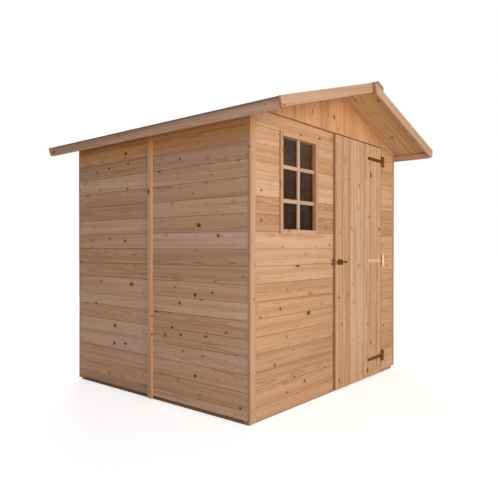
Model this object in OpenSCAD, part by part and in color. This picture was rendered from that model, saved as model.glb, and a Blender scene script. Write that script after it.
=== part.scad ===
/* [Walls] */
// Width over the side walls
shed_w = 1960; // [1700:10:2400]
// Depth over the front and back corner strips
shed_d = 1784; // [1500:4:2400]
// Thickness of the wall cladding
clad_t = 15; // [12:1:22]
// Thickness of the outer layer of the front and back: strips, gables, door side
trim_t = 20; // [18:1:28]
// Height of the gables' lower edge
gable_z = 1884; // [1750:2:2000]
// Width of the front left corner strip and the back strips
strip_w = 50; // [40:1:70]
// Width of the front right corner strip
strip_right_w = 38; // [30:1:60]
// Height of the left and back strips' feet above the ground
strip_foot = 14; // [6:1:24]
// Width of the cover battens over the wall joints
batten_w = 40; // [30:1:60]
// Thickness of the cover battens
batten_t = 18; // [12:1:20]
// Height of the battens' foot above the ground
batten_foot = 10; // [4:1:24]

/* [Base] */
// Height of the bearers
bearer_h = 28; // [22:1:60]
// Width of a bearer
bearer_w = 45; // [35:1:60]
// Number of bearers
bearer_n = 7; // [5:2:9]
// How far the base stands back from the side walls
base_inset = 12; // [8:1:14]
// Thickness of the floor boards
floor_t = 16; // [14:1:24]

/* [Inner frame] */
// Depth of the studs, across the wall
stud_d = 30; // [25:1:45]
// Width of the studs, along the wall
stud_w = 40; // [30:1:60]
// Height of the top plates
plate_h = 40; // [30:1:60]
// Clear space between the gable plates' ends and the roof
plate_end_gap = 10; // [5:1:40]

/* [Roof] */
// Pitch of the roof
pitch = 16.8; // [12:0.1:25]
// Distance from a wall's corner to the point where the gable's lower edge meets the roof
gable_inset = 32; // [20:1:60]
// Overhang of the roof panels past the front and back, before they are staggered
roof_out = 295; // [200:5:420]
// How far the right panel stands forward of the left one
roof_stagger = 25; // [22:1:40]
// Overhang from a side wall to the face of the eave board
eave_out = 70; // [50:1:160]
// Thickness of the roof boards
deck_t = 22; // [14:1:28]
// Width of a barge board
barge_w = 64; // [50:1:90]
// Thickness of the barge boards and eave boards
barge_t = 18; // [14:1:20]
// How far a barge board runs on past the eave board
barge_out = 18; // [10:1:40]
// Clearance between the roof boards and what closes or lies against them
roof_gap = 0.3; // [0.2:0.1:0.5]
// Height of an eave board's face
eave_h = 58; // [45:1:80]
// How far an eave board's top lies below the roof boards' upper face
eave_drop = 12; // [4:1:18]
// Width of the ridge batten
ridge_batten_w = 105; // [70:1:130]
// Thickness of the ridge batten
ridge_batten_t = 30; // [20:1:45]
// Distance of the ridge batten from the ridge
ridge_batten_off = 24; // [14:1:40]
// Chamfer along the ridge batten's upper edge
ridge_batten_cut = 14; // [5:1:18]
// Height of the ridge beam
beam_h = 70; // [50:1:100]
// Width of the ridge beam and the purlins
beam_w = 45; // [35:1:60]
// Height of the purlins
purlin_h = 60; // [40:1:80]
// Distance of a purlin from the ridge
purlin_x = 480; // [400:5:600]

/* [Door] */
// Left edge of the door leaf
door_x = -12; // [-100:1:60]
// Width of the door leaf
door_w = 735; // [650:1:800]
// Thickness of the door leaf
leaf_t = 15; // [12:1:15]
// Height of the leaf's lower edge above the ground
leaf_foot = 14; // [10:1:26]
// Gap above the leaf
leaf_top_gap = 8; // [6:1:14]
// Gap beside the leaf on its hinge side
leaf_gap = 5; // [5:0.5:8]
// How far the leaf laps its posts and lintel
door_lap = 25; // [20:1:35]
// Width of the hinge post
hinge_post_w = 40; // [36:1:60]
// Width of a ledge on the door's inner face
ledge_w = 70; // [50:1:100]
// Thickness of the ledges and braces
ledge_t = 22; // [18:1:25]
// Clear space between the ledges' ends and the posts
ledge_gap = 10; // [8:1:20]
// Distance of the outer ledges' middles from the leaf's ends
ledge_end = 150; // [100:5:220]
// Width of a door brace
brace_w = 60; // [40:1:80]

/* [Hinges] */
// Distance of the bottom hinge's middle from the leaf's foot
hinge_low_end = 137; // [110:1:250]
// Distance of the top hinge's middle from the leaf's top
hinge_top_end = 110; // [80:1:250]
// Length of a hinge strap
strap_l = 235; // [120:1:260]
// Width of a strap at its tip
strap_tip_w = 25; // [14:1:27]
// Thickness of the hinge metal
hinge_t = 2.5; // [2:0.1:3]
// Height of a hinge plate
hinge_plate_h = 88; // [70:1:120]
// Width of a hinge plate beside the door gap
hinge_plate_w = 50; // [30:1:60]
// Radius of the knuckles
knuckle_r = 5; // [4.5:0.1:6]
// Radius of the hinge pin
pin_r = 2.5; // [2:0.1:3]
// Clearance between a knuckle and the door's face
knuckle_gap = 0.5; // [0.4:0.1:1]
// Clearance between neighbouring knuckles
knuckle_end_gap = 0.4; // [0.3:0.1:1]
// Running clearance of a pin or rod in its bore
run_gap = 0.05; // [0.02:0.01:0.1]
// Radius of the corners of a hinge plate
plate_corner = 8; // [3:1:12]

/* [Window] */
// Left edge of the window casing
window_x = -668; // [-760:1:-620]
// Width of the window casing
window_w = 440; // [380:1:480]
// Distance of the window casing's top below the gable
window_top_gap = 89; // [60:1:200]
// Height of the window casing
window_h = 655; // [600:1:690]
// Thickness of the casing in front of the wall
casing_t = 10; // [8:1:20]
// Width of the casing round the panes
casing_w = 30; // [26:1:50]
// How far the casing laps the wall
casing_lap = 14; // [10:1:16]
// Depth of the glass behind the casing's face
glass_back = 28; // [24:1:36]
// Thickness of the glass
glass_t = 4; // [3:1:6]
// Depth of the groove that holds the glass
glass_groove = 6; // [4:1:8]
// Clearance of the glass in its groove
glass_gap = 0.3; // [0.2:0.1:0.5]
// Distance between the window hole and the studs beside it
window_stud_gap = 6; // [2:1:20]

/* [Bolt] */
// Height of the bolt above the ground
bolt_z = 945; // [880:1:1000]
// Radius of the bolt's rod
rod_r = 5; // [4:0.5:6]
// Distance of the rod's axis from the door's face
rod_out = 15; // [15:0.5:18]
// Radius of the rod's knob
knob_r = 9; // [7:0.5:9.5]
// Clear space between the knob and its guide when the bolt is shot
knob_gap = 1; // [0.5:0.1:3]
// Travel of the bolt
bolt_travel = 34; // [25:1:40]
// Distance of the drawn rod's tip from the door's edge
rod_back = 14; // [8:1:16]
// Distance of the bolt's plate from the door's edge
bolt_plate_off = 32; // [16:1:50]
// Width of the bolt's plate
bolt_plate_w = 74; // [66:1:90]
// Height of the bolt's plate
bolt_plate_h = 40; // [36:1:50]
// Thickness of the bolt's plate and keeper
bolt_plate_t = 2; // [1.5:0.1:3]
// Width of a guide on the bolt's plate
guide_w = 12; // [8:1:16]
// Distance between the two guides
guide_space = 28; // [20:1:40]
// Wall of a guide round the rod
guide_wall = 3; // [2:0.5:5]
// Width of the keeper
keeper_w = 16; // [14:1:30]
// Distance of the keeper from the door's edge
keeper_gap = 7; // [7:1:12]
// Clear space round the rod in the keeper
keeper_room = 5; // [5:0.5:7]
// Length of a keeper's foot
keeper_foot = 10; // [10:1:20]

/* [Hidden] */
$fn = 48;

wood = "burlywood";
shaded_wood = "peru";
inner_wood = "wheat";
base_wood = "saddlebrown";
bronze = "dimgray";
brass = "goldenrod";

// Planes of the walls: outer face, face of the recessed panels, inner face of the cladding
side_x = shed_w / 2;
side_in_x = side_x - clad_t;
front_y = -shed_d / 2;
panel_y = front_y + trim_t;
clad_in_y = panel_y + clad_t;
stud_in_y = clad_in_y + stud_d;
stud_in_x = side_in_x - stud_d;
wall_foot = bearer_h;
floor_z = bearer_h + floor_t;

// Planes of the roof
roof_tan = tan(pitch);
deck_drop = deck_t / cos(pitch);
gable_reach = side_x - gable_inset;
ridge_z = gable_z + gable_reach * roof_tan + roof_gap + deck_drop;
roof_l = shed_d + 2 * roof_out;
eave_x = side_x + eave_out;
eave_in_x = eave_x - barge_t;
barge_x = eave_x + barge_out;
left_roof_y = -roof_l / 2 + roof_stagger / 2;
right_roof_y = -roof_l / 2 - roof_stagger / 2;

// Door, hinges and bolt
door_right = door_x + door_w;
leaf_top = gable_z - leaf_top_gap;
leaf_in_y = front_y + leaf_t;
leaf_mid = (leaf_foot + leaf_top) / 2;
ledge_z = [leaf_foot + ledge_end, leaf_mid, leaf_top - ledge_end];
low_hinge_z = leaf_foot + hinge_low_end;
top_hinge_z = leaf_top - hinge_top_end;
post_x = door_x + door_lap;
hinge_post_x = door_right - door_lap;
panel_right_x = door_right + leaf_gap;
axis_x = door_right + leaf_gap / 2;
axis_y = front_y - knuckle_gap - knuckle_r;
knuckle_l = hinge_plate_h / 3;
rod_y = front_y - rod_out;
bolt_plate_x = door_x + bolt_plate_off;
window_z = gable_z - window_top_gap - window_h;
window_hole = [window_w - 2 * casing_lap, window_h - 2 * casing_lap];
sight = [window_w - 2 * casing_w, window_h - 2 * casing_w];
casing_y = panel_y - casing_t;
// A small reach past a face, so that a cut leaves no skin
over = 1;

// Heights at a distance from the ridge: the roof's upper face, its boards' lower face,
// and the top of what closes against them
function roof_top(x) = ridge_z - abs(x) * roof_tan;
function deck_under(x) = roof_top(x) - deck_drop;
function under_roof(x) = deck_under(x) - roof_gap;
// A point along a slope, s from the ridge and t out of the roof's upper face, on the right
function on_slope(s, t) = [s * cos(pitch) + t * sin(pitch), ridge_z - s * sin(pitch) + t * cos(pitch)];

// A box between two corners
module block(low, high) {
    translate(low)
        cube(high - low);
}

// An outline in X and Z, drawn out along Y between two planes
module along_y(y0, y1) {
    translate([0, y1, 0])
        rotate([90, 0, 0])
            linear_extrude(y1 - y0)
                children();
}

// The child on the right, and its twin on the left
module both_sides() {
    children();
    mirror([1, 0, 0])
        children();
}

// The child at the front, and its twin at the back
module both_ends() {
    children();
    mirror([0, 1, 0])
        children();
}

// A slab of the front wall between two places, with its top cut to the gable's edge and the roof
module wall_slab(x0, x1, y0, y1, foot = wall_foot) {
    along_y(y0, y1)
        intersection() {
            translate([x0, foot])
                square([x1 - x0, gable_z - foot]);
            polygon([
                [-side_x, 0],
                [side_x, 0],
                [side_x, under_roof(side_x)],
                [gable_reach, gable_z],
                [-gable_reach, gable_z],
                [-side_x, under_roof(side_x)]
            ]);
        }
}

module floor_bearers() {
    reach = side_x - base_inset - bearer_w / 2;
    end_y = -panel_y - bearer_w;
    color(base_wood)
        for (i = [0 : bearer_n - 1])
            translate([-reach + 2 * reach * i / (bearer_n - 1), 0, 0])
                block([-bearer_w / 2, -end_y, 0], [bearer_w / 2, end_y, bearer_h]);
}

module base_rails() {
    reach = side_x - base_inset;
    color(wood)
        both_ends()
            block([-reach, panel_y, 0], [reach, panel_y + bearer_w, bearer_h]);
}

module floor_deck() {
    color(inner_wood)
        block([-side_in_x, clad_in_y, bearer_h], [side_in_x, -clad_in_y, floor_z]);
}

// Half of a side wall, from one depth to another, on the right
module side_panel(y0, y1) {
    color(shaded_wood)
        along_y(y0, y1)
            polygon([
                [side_in_x, wall_foot],
                [side_x, wall_foot],
                [side_x, under_roof(side_x)],
                [side_in_x, under_roof(side_in_x)]
            ]);
}

module left_wall_front() {
    mirror([1, 0, 0])
        side_panel(panel_y, 0);
}

module left_wall_back() {
    mirror([1, 0, 0])
        side_panel(0, -panel_y);
}

module right_wall_front() {
    side_panel(panel_y, 0);
}

module right_wall_back() {
    side_panel(0, -panel_y);
}

module back_wall_right() {
    color(wood)
        wall_slab(0, side_in_x, -clad_in_y, -panel_y);
}

module back_wall_left() {
    color(wood)
        wall_slab(-side_in_x, 0, -clad_in_y, -panel_y);
}

module front_left_panel() {
    color(wood)
        difference() {
            wall_slab(-side_in_x, door_x, panel_y, clad_in_y);
            translate([window_x + casing_lap, panel_y - over, window_z + casing_lap])
                cube([window_hole.x, clad_t + 2 * over, window_hole.y]);
        }
}

module front_right_panel() {
    color(wood)
        wall_slab(panel_right_x, side_x - strip_right_w, front_y, panel_y);
}

// The gable stands on the wall's lower part and closes against the roof boards
module gable() {
    color(wood)
        along_y(front_y, panel_y)
            polygon([[-gable_reach, gable_z], [gable_reach, gable_z], [0, under_roof(0)]]);
}

module front_gable() {
    gable();
}

module back_gable() {
    mirror([0, 1, 0])
        gable();
}

// A corner strip on the front right
module corner_strip(w, foot) {
    color(wood)
        wall_slab(side_x - w, side_x, front_y, panel_y, foot);
}

module front_right_strip() {
    corner_strip(strip_right_w, wall_foot);
}

module front_left_strip() {
    mirror([1, 0, 0])
        corner_strip(strip_w, strip_foot);
}

module back_right_strip() {
    mirror([0, 1, 0])
        corner_strip(strip_w, strip_foot);
}

module back_left_strip() {
    mirror([1, 0, 0])
        mirror([0, 1, 0])
            corner_strip(strip_w, strip_foot);
}

// A cover batten on a side wall, with its top cut to the roof
module side_batten() {
    outer = side_x + batten_t;
    color(wood)
        along_y(-batten_w / 2, batten_w / 2)
            polygon([
                [side_x, batten_foot],
                [outer, batten_foot],
                [outer, under_roof(outer)],
                [side_x, under_roof(side_x)]
            ]);
}

module left_batten() {
    mirror([1, 0, 0])
        side_batten();
}

module right_batten() {
    side_batten();
}

module back_batten() {
    color(wood)
        block([-batten_w / 2, -panel_y, batten_foot], [batten_w / 2, -panel_y + batten_t, gable_z]);
}

// Studs stand on the floor behind the panels' edges
module wall_studs() {
    side_top = under_roof(side_in_x) - plate_h;
    last_y = -stud_in_y - stud_w;
    window_left = window_x + casing_lap - window_stud_gap;
    window_right = window_left + window_hole.x + 2 * window_stud_gap;
    color(inner_wood) {
        both_sides()
            for (y = [-last_y, -stud_w / 2, last_y - stud_w])
                block([stud_in_x, y, floor_z], [side_in_x, y + stud_w, side_top]);
        for (x = [window_left - stud_w, window_right])
            block([x, clad_in_y, floor_z], [x + stud_w, stud_in_y, gable_z]);
        for (x = [-side_in_x / 2, 0, side_in_x / 2])
            block([x - stud_w / 2, -stud_in_y, floor_z], [x + stud_w / 2, -clad_in_y, gable_z]);
    }
}

// Plates under the eaves on the side studs, and behind the gables on the front and back panels
module top_plates() {
    reach = gable_reach - plate_h / roof_tan - plate_end_gap;
    color(inner_wood) {
        both_sides()
            along_y(stud_in_y, -stud_in_y)
                polygon([
                    [stud_in_x, under_roof(side_in_x) - plate_h],
                    [side_in_x, under_roof(side_in_x) - plate_h],
                    [side_in_x, under_roof(side_in_x)],
                    [stud_in_x, under_roof(stud_in_x)]
                ]);
        both_ends()
            block([-reach, panel_y, gable_z], [reach, stud_in_y, gable_z + plate_h]);
    }
}

// The posts stand behind the leaf's edges as its stops
module door_posts() {
    color(inner_wood) {
        block([door_x, panel_y, floor_z], [post_x, stud_in_y, gable_z]);
        block([hinge_post_x, panel_y, floor_z], [hinge_post_x + hinge_post_w, stud_in_y, gable_z]);
    }
}

module door_lintel() {
    color(inner_wood)
        block([post_x, panel_y, leaf_top - door_lap], [hinge_post_x, stud_in_y, gable_z]);
}

// A casing laps the wall's face and a lining fills the hole, with a groove for the glass
module window_frame() {
    groove = glass_t + 2 * glass_gap;
    groove_y = casing_y + glass_back - glass_gap;
    color(wood)
        difference() {
            union() {
                translate([window_x, casing_y, window_z])
                    cube([window_w, casing_t, window_h]);
                translate([window_x + casing_lap, panel_y, window_z + casing_lap])
                    cube([window_hole.x, clad_t + stud_d, window_hole.y]);
            }
            translate([window_x + casing_w, casing_y - over, window_z + casing_w])
                cube([sight.x, casing_t + clad_t + stud_d + 2 * over, sight.y]);
            translate([window_x + casing_w - glass_groove, groove_y, window_z + casing_w - glass_groove])
                cube([sight.x + 2 * glass_groove, groove, sight.y + 2 * glass_groove]);
        }
}

module window_glass() {
    seat = glass_groove - glass_gap;
    color("slategray", 0.6)
        translate([window_x + casing_w - seat, casing_y + glass_back, window_z + casing_w - seat])
            cube([sight.x + 2 * seat, glass_t, sight.y + 2 * seat]);
}

// The boards of one slope, on the right, from the ridge to the eave board
module roof_panel(y0) {
    color(wood)
        along_y(y0 + barge_t, y0 + roof_l - barge_t)
            polygon([
                [0, deck_under(0)],
                [eave_in_x, deck_under(eave_in_x)],
                [eave_in_x, roof_top(eave_in_x)],
                [0, ridge_z]
            ]);
}

module left_roof_panel() {
    mirror([1, 0, 0])
        roof_panel(left_roof_y);
}

module right_roof_panel() {
    roof_panel(right_roof_y);
}

// The eave board closes the lower edge of one slope, between its barge boards
module eave_board(y0) {
    top = roof_top(eave_x) - eave_drop;
    color(wood)
        along_y(y0 + barge_t, y0 + roof_l - barge_t)
            polygon([
                [eave_in_x, top - eave_h],
                [eave_x, top - eave_h],
                [eave_x, top],
                [eave_in_x, roof_top(eave_in_x) - eave_drop]
            ]);
}

module eave_boards() {
    eave_board(right_roof_y);
    mirror([1, 0, 0])
        eave_board(left_roof_y);
}

// The left barge board is cut square at both ends, and its upper end runs on under the right boards
module left_barge(y0) {
    length = barge_x / cos(pitch);
    tuck = deck_t / cos(2 * pitch) + roof_gap;
    color(wood)
        mirror([1, 0, 0])
            along_y(y0, y0 + barge_t)
                polygon([
                    on_slope(0, 0),
                    on_slope(length, 0),
                    on_slope(length, -barge_w),
                    on_slope(0, -barge_w),
                    on_slope(0, -tuck),
                    [0, under_roof(0)]
                ]);
}

// The right barge board's upper end follows the left one's cut, which leans by the pitch
module right_barge(y0) {
    length = barge_x / cos(pitch);
    cut = barge_w * tan(2 * pitch);
    color(wood)
        along_y(y0, y0 + barge_t)
            polygon([
                on_slope(0, 0),
                on_slope(length, 0),
                on_slope(length, -barge_w),
                on_slope(cut, -barge_w)
            ]);
}

module front_barges() {
    left_barge(left_roof_y);
    right_barge(right_roof_y);
}

module back_barges() {
    left_barge(left_roof_y + roof_l - barge_t);
    right_barge(right_roof_y + roof_l - barge_t);
}

// A batten lies along the right slope beside the ridge and closes the boards' joint
module ridge_batten() {
    near = ridge_batten_off;
    far = near + ridge_batten_w;
    top = roof_gap + ridge_batten_t;
    color(wood)
        along_y(right_roof_y, right_roof_y + roof_l)
            polygon([
                on_slope(near, roof_gap),
                on_slope(far, roof_gap),
                on_slope(far, top - ridge_batten_cut / 2),
                on_slope(far - ridge_batten_cut / 2, top),
                on_slope(near + ridge_batten_cut, top),
                on_slope(near, top - ridge_batten_cut)
            ]);
}

module ridge_beam() {
    color(inner_wood)
        along_y(panel_y, -panel_y)
            polygon([
                [-beam_w / 2, under_roof(beam_w / 2) - beam_h],
                [beam_w / 2, under_roof(beam_w / 2) - beam_h],
                [beam_w / 2, under_roof(beam_w / 2)],
                [0, under_roof(0)],
                [-beam_w / 2, under_roof(beam_w / 2)]
            ]);
}

module purlins() {
    inner = purlin_x - beam_w / 2;
    outer = purlin_x + beam_w / 2;
    color(inner_wood)
        both_sides()
            along_y(panel_y, -panel_y)
                polygon([
                    [inner, under_roof(outer) - purlin_h],
                    [outer, under_roof(outer) - purlin_h],
                    [outer, under_roof(outer)],
                    [inner, under_roof(inner)]
                ]);
}

module door_leaf() {
    color(wood)
        block([door_x, front_y, leaf_foot], [door_right, leaf_in_y, leaf_top]);
}

module door_ledges() {
    color(inner_wood)
        for (z = ledge_z)
            translate([post_x + ledge_gap, leaf_in_y, z - ledge_w / 2])
                cube([hinge_post_x - post_x - 2 * ledge_gap, ledge_t, ledge_w]);
}

// A brace rises from the hinge side of one ledge to the free side of the next
module door_braces() {
    left = post_x + ledge_gap;
    right = hinge_post_x - ledge_gap;
    color(inner_wood)
        for (i = [0 : len(ledge_z) - 2])
            along_y(leaf_in_y, leaf_in_y + ledge_t)
                polygon([
                    [right, ledge_z[i] + ledge_w / 2],
                    [right - brace_w, ledge_z[i] + ledge_w / 2],
                    [left, ledge_z[i + 1] - ledge_w / 2],
                    [left + brace_w, ledge_z[i + 1] - ledge_w / 2]
                ]);
}

// A strap lies on the door, tapers to a round tip and turns round the pin at its middle third
module hinge_strap(z) {
    root_w = knuckle_l - 2 * knuckle_end_gap;
    tip_r = strap_tip_w / 2;
    tip_x = door_right - strap_l + tip_r;
    translate([0, 0, z])
        difference() {
            union() {
                along_y(front_y - hinge_t, front_y)
                    union() {
                        polygon([
                            [axis_x - knuckle_gap, -root_w / 2],
                            [axis_x - knuckle_gap, root_w / 2],
                            [tip_x, tip_r],
                            [tip_x, -tip_r]
                        ]);
                        translate([tip_x, 0])
                            circle(tip_r);
                    }
                translate([axis_x, axis_y, -root_w / 2])
                    cylinder(h = root_w, r = knuckle_r);
            }
            translate([axis_x, axis_y, -hinge_plate_h / 2])
                cylinder(h = hinge_plate_h, r = pin_r + run_gap);
        }
}

// A plate on the right panel carries the outer knuckles and the pin through all three
module hinge_plate(z) {
    plate_x = axis_x + knuckle_r + knuckle_gap;
    half = hinge_plate_h / 2;
    corner = plate_corner;
    translate([0, 0, z]) {
        along_y(front_y - hinge_t, front_y)
            union() {
                translate([plate_x, -half])
                    square([hinge_plate_w - corner, hinge_plate_h]);
                translate([plate_x, corner - half])
                    square([hinge_plate_w, hinge_plate_h - 2 * corner]);
                for (side = [-1, 1])
                    translate([plate_x + hinge_plate_w - corner, side * (half - corner)])
                        circle(corner);
            }
        for (low = [-half, half - knuckle_l]) {
            translate([axis_x, axis_y, low])
                cylinder(h = knuckle_l, r = knuckle_r);
            translate([axis_x, front_y - knuckle_gap - hinge_t, low])
                cube([knuckle_r + 2 * knuckle_gap, hinge_t, knuckle_l]);
        }
        translate([axis_x, axis_y, -half])
            cylinder(h = hinge_plate_h, r = pin_r);
    }
}

module hinge_straps() {
    color(bronze)
        for (z = [low_hinge_z, top_hinge_z])
            hinge_strap(z);
}

module middle_hinge_strap() {
    color(brass)
        hinge_strap(leaf_mid);
}

module hinge_plates() {
    color(bronze)
        for (z = [low_hinge_z, top_hinge_z])
            hinge_plate(z);
}

module middle_hinge_plate() {
    color(brass)
        hinge_plate(leaf_mid);
}

// A cylinder along X at the rod's axis, between two places
module rod_length(x0, x1, r) {
    translate([x0, rod_y, bolt_z])
        rotate([0, 90, 0])
            cylinder(h = x1 - x0, r = r);
}

// A plate on the door with two guides that are drilled for the rod
module bolt_plate() {
    guide_r = rod_r + guide_wall;
    color(bronze)
        difference() {
            union() {
                translate([bolt_plate_x, front_y - bolt_plate_t, bolt_z - bolt_plate_h / 2])
                    cube([bolt_plate_w, bolt_plate_t, bolt_plate_h]);
                for (x = [bolt_plate_x, bolt_plate_x + guide_w + guide_space]) {
                    rod_length(x, x + guide_w, guide_r);
                    block([x, rod_y, bolt_z - guide_r], [x + guide_w, front_y, bolt_z + guide_r]);
                }
            }
            rod_length(bolt_plate_x - over, bolt_plate_x + bolt_plate_w, rod_r + run_gap);
        }
}

// The rod slides towards the keeper until its knob meets the second guide
module bolt_rod() {
    knob_x = bolt_plate_x + 2 * guide_w + guide_space + bolt_travel + knob_r + knob_gap;
    color(bronze) {
        rod_length(door_x + rod_back, knob_x, rod_r);
        translate([knob_x, rod_y, bolt_z])
            sphere(knob_r);
    }
}

// A staple on the front panel beside the door, bridged over the rod's way
module bolt_keeper() {
    right = door_x - keeper_gap;
    left = right - keeper_w;
    room = rod_r + keeper_room;
    outer = room + bolt_plate_t;
    color(bronze)
        translate([left, 0, bolt_z])
            rotate([90, 0, 90])
                linear_extrude(keeper_w)
                    polygon([
                        [panel_y, -outer - keeper_foot],
                        [panel_y, -room],
                        [rod_y - room, -room],
                        [rod_y - room, room],
                        [panel_y, room],
                        [panel_y, outer + keeper_foot],
                        [panel_y - bolt_plate_t, outer + keeper_foot],
                        [panel_y - bolt_plate_t, outer],
                        [rod_y - outer, outer],
                        [rod_y - outer, -outer],
                        [panel_y - bolt_plate_t, -outer],
                        [panel_y - bolt_plate_t, -outer - keeper_foot]
                    ]);
}

floor_bearers();
base_rails();
floor_deck();
left_wall_front();
left_wall_back();
right_wall_front();
right_wall_back();
back_wall_left();
back_wall_right();
front_left_panel();
front_right_panel();
front_gable();
back_gable();
front_left_strip();
front_right_strip();
back_left_strip();
back_right_strip();
left_batten();
right_batten();
back_batten();
wall_studs();
top_plates();
door_posts();
door_lintel();
window_frame();
window_glass();
left_roof_panel();
right_roof_panel();
eave_boards();
front_barges();
back_barges();
ridge_batten();
ridge_beam();
purlins();
door_leaf();
door_ledges();
door_braces();
hinge_straps();
middle_hinge_strap();
hinge_plates();
middle_hinge_plate();
bolt_plate();
bolt_rod();
bolt_keeper();
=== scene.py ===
import math
import random

import bmesh
import bpy
from bpy.props import FloatProperty, FloatVectorProperty, IntProperty, PointerProperty
from mathutils import Matrix, Vector


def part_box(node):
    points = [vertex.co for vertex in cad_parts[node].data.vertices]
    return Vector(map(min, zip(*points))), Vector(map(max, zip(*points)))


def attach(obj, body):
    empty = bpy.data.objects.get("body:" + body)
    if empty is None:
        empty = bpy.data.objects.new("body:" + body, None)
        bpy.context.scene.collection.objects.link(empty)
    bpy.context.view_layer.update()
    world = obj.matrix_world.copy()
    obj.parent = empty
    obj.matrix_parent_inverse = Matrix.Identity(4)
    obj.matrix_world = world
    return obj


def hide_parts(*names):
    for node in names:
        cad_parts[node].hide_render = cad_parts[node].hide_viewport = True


bl_info = {
    "name": "Wooden garden shed",
    "version": (1, 0, 0),
    "blender": (4, 5, 0),
    "location": "View3D > Sidebar > Shed",
    "description": "Boards, timbers, window bars, hinges and nails of a small garden shed",
    "category": "Object",
}

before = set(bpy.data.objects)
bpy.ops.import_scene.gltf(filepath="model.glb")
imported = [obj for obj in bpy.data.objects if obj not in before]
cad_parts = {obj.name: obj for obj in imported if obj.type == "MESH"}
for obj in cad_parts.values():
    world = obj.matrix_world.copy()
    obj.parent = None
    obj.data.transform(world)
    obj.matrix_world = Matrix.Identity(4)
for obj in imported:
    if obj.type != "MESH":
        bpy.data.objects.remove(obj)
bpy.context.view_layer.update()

X = Vector((1, 0, 0))
Y = Vector((0, 1, 0))
Z = Vector((0, 0, 1))
WALL_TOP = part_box("left_wall_front")[1].z
EAVE_FOOT, EAVE_TOP = (corner.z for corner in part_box("eave_boards"))

# Corners closer than this are one corner, and a cut this far outside a solid leaves it whole
MERGE = 1e-6
CLEAR = 0.01
# Corners within these of a plane or of a board's edge lie on it
NEAR = 1e-5
AT_EDGE = 1e-4
# Digits of a metre that places are sorted by
DIGITS = 5
# Least cosine of faces that look along a direction, mostly along it, and partly along it
ALONG = 0.99
MOSTLY = 0.7
PARTLY = 0.3
# Least width of the first and last board of a wall
LEAST_BOARD = 0.02

# How far up its tree a board may start, and how far beside and behind it the tree's heart may lie
TREE = 40.0
HEART_SIDE = 0.05
HEART_DEPTH = (0.02, 0.09)
# Distance between growth rings, and knots in a metre along and across the grain
RING_STEP = 0.0048
KNOTS_ALONG, KNOTS_ACROSS = 4.6, 9.5
# How far under the eaves the painted shade and warm bounce light start to deepen the wood's colour, and where
# they are at full depth
EAVE_SHADE_REACH = (0.26, 0.1)
# How far under a lip the painted shadow starts to darken the wood, where it is darkest, and how dark that is
LIP_SHADE = (0.042, 0.01)
LIP_SHADE_LEVEL = 0.8
# Heights between which the painted shade along the ground fades out
GROUND_SHADE = (0.0096, 0.0224)

# Least and greatest darkness of the joints between boards
WALL_SEAMS = (0.2, 0.75)
DOOR_SEAMS = (0.65, 1.2)
GABLE_SEAMS = (0.45, 0.95)
# How dark the painted shade is on the sides of the strips, of the window's bars and casing and of
# its reveal, in front of the glass and behind it
STRIP_SIDE = 0.12
BAR_SIDE = 0.4
CASING_SIDE = 0.4
REVEAL = 0.45
REBATE = 2.4
# How dark the painted shade is on the ends of the base rails and on the edges of the door leaf
RAIL_END = 0.9
LEAF_EDGE = 0.4
# Sides of the round heads, and radius of their tops as a share of their foot's
SCREW_SIDES, NAIL_SIDES = 14, 8
SCREW_TOP, NAIL_TOP = 0.72, 0.8
# A slot's edge as a share of its width, its depth as a share of the head's height, and the distance
# of the bolt's screws from the edges of its plate in radii of a head
SLOT_EDGE, SLOT_DEPTH, SCREW_INSET = 0.1, 0.6, 1.5
# What is left of each colour at a darkness of one, on dark joints and under painted shade on dark sides
SEAM_TINT = (0.52, 0.37, 0.24)

# Seeds of the boards' grain, which count up where a group has several pieces
SEEDS = dict(walls=11, gables=31, roof=41, trim=334, bearers=61, floor=62, rails=63, inner=71)
SEEDS |= dict(window=81, bars=82, door=91, ledges=92)


def length(label, text, default):
    """A size in metres."""
    return FloatProperty(name=label, description=text, default=default, min=0.0, precision=4, unit="LENGTH")


def amount(label, text, default, low=0.0):
    return FloatProperty(name=label, description=text, default=default, min=low)


def angle(label, text, degrees):
    return FloatProperty(name=label, description=text, default=math.radians(degrees), subtype="ANGLE")


def point(label, text, default):
    """A place in metres."""
    return FloatVectorProperty(name=label, description=text, default=default, size=3, subtype="XYZ")


def colour(label, text, default):
    """A colour, in linear values."""
    return FloatVectorProperty(
        name=label, description=text, default=default, min=0.0, max=1.0, size=3, subtype="COLOR"
    )


class ShedBoards(bpy.types.PropertyGroup):
    """How the walls, gables, roof, floor and door are boarded."""

    wall_cover: length("Wall board", "Height that one wall board covers", 0.1062)
    wall_line: length("Wall joint", "Height of one joint between wall boards", 1.7872)
    gable_cover: length("Gable board", "Width that one gable board covers", 0.104)
    roof_cover: length("Roof board", "Width that one roof board covers", 0.104)
    floor_cover: length("Floor board", "Width that one floor board covers", 0.095)
    door_cover: length("Door board", "Width that one door board covers", 0.11)
    door_line: length("Door joint", "Place of one joint between door boards", 0.092)
    face_cut: length("Face chamfer", "Chamfer along the boards' edges on their face", 0.0028)
    vee_cut: length("Vee joint", "Chamfer along the edges of upright boards on their face", 0.0034)
    back_cut: length("Back chamfer", "Chamfer along the boards' edges on their back", 0.0012)
    timber_edge: length("Timber edge", "Rounding of the edges of strips, frames and studs", 0.0022)
    base_edge: length("Base edge", "Rounding of the edges of the bearers and the base rails", 0.003)


class ShedWindow(bpy.types.PropertyGroup):
    """The bars in front of the window's glass."""

    columns: IntProperty(name="Columns", description="Panes side by side", default=2, min=1)
    rows: IntProperty(name="Rows", description="Panes over each other", default=3, min=1)
    upright_w: length("Upright bar", "Width of the upright bar", 0.029)
    cross_h: length("Cross bar", "Height of the cross bars", 0.026)
    cross_drop: length("Lowest bar", "How far the lowest cross bar lies below an even spacing", 0.011)
    set_back: length("Set back", "Distance of the bars behind the casing's face", 0.013)
    casing_edge: length("Casing edge", "Rounding of the edges of the casing and the lining", 0.0016)
    bar_edge: length("Bar edge", "Chamfer along the bars' edges", 0.003)


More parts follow.
